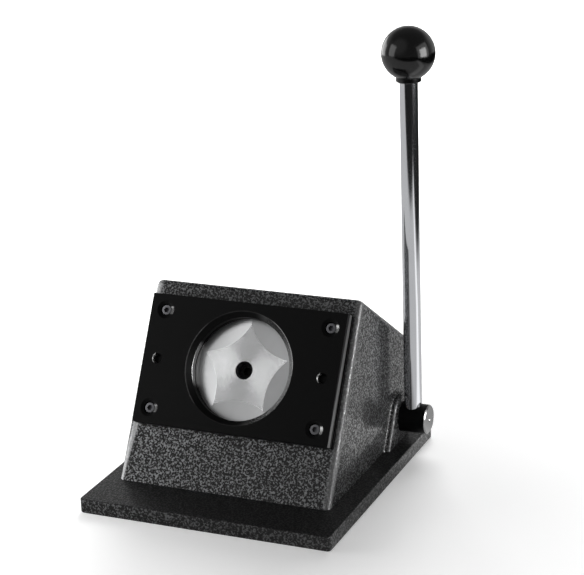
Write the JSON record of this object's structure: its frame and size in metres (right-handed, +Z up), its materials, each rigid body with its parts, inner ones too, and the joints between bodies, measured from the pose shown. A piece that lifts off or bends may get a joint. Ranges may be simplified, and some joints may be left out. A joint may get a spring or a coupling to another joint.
{
  "type": "badge circle cutter",
  "caption": "Desk cutter for round badge papers: wedge casting with a leaning die plate and round window, a punch behind it, and an upright ball lever at the side that drives the punch.",
  "frame": {"origin": "centre of the base plate's underside", "axes": "+X to the right seen from the front, +Y to the back, +Z up along the upright lever"},
  "size_m": [0.1506, 0.152, 0.2349],
  "materials": {
    "base_paint": "dark hammertone paint",
    "housing_paint": "black and silver hammertone paint on a casting",
    "black_steel": "black oxide",
    "bright_steel": "ground and turned",
    "spring_steel": "drawn wire",
    "bronze": "turned bronze",
    "chrome": "bright plated",
    "ball_plastic": "polished black",
    "brass": "turned"
  },
  "bodies": {
    "frame": {"base_plate": "base_paint", "base_screws": "black_steel", "housing": "housing_paint", "guide_plate": "black_steel", "spacer_left": "black_steel", "spacer_right": "black_steel", "die_plate": "black_steel", "die_screws": "black_steel", "dowel_pins": "bright_steel", "ram_bush": "bronze", "return_spring": "spring_steel", "bush_left": "bronze", "bush_right": "bronze"},
    "lever": {"cam_shaft": "black_steel", "cam": "bright_steel", "cam_pin": "bright_steel", "shaft_washers": "bright_steel", "shaft_clips": "black_steel", "lever_rod": "chrome", "ball_knob": "ball_plastic", "knob_insert": "brass"},
    "punch": {"punch": "bright_steel", "punch_screw": "black_steel", "ram": "bright_steel", "spring_collar": "bright_steel", "ram_clip": "black_steel"}
  },
  "joints": [
    {"name": "lever_turn", "type": "hinge", "parent": "frame", "child": "lever", "pos_m": [0, 0.0524, 0.0203], "axis": [1, 0, 0], "range_deg": [0, 75]},
    {"name": "punch_slide", "type": "slide", "parent": "frame", "child": "punch", "axis": [0, -0.8746, 0.4848], "range_m": [0, 0.0042], "stiffness_N_per_m": 10000, "springref_m": -0.006, "deforming": ["return_spring"]}
  ],
  "couplings": [
    {"joint": "punch_slide", "follows": "lever_turn", "m_per_rad": 0.0032086}
  ]
}
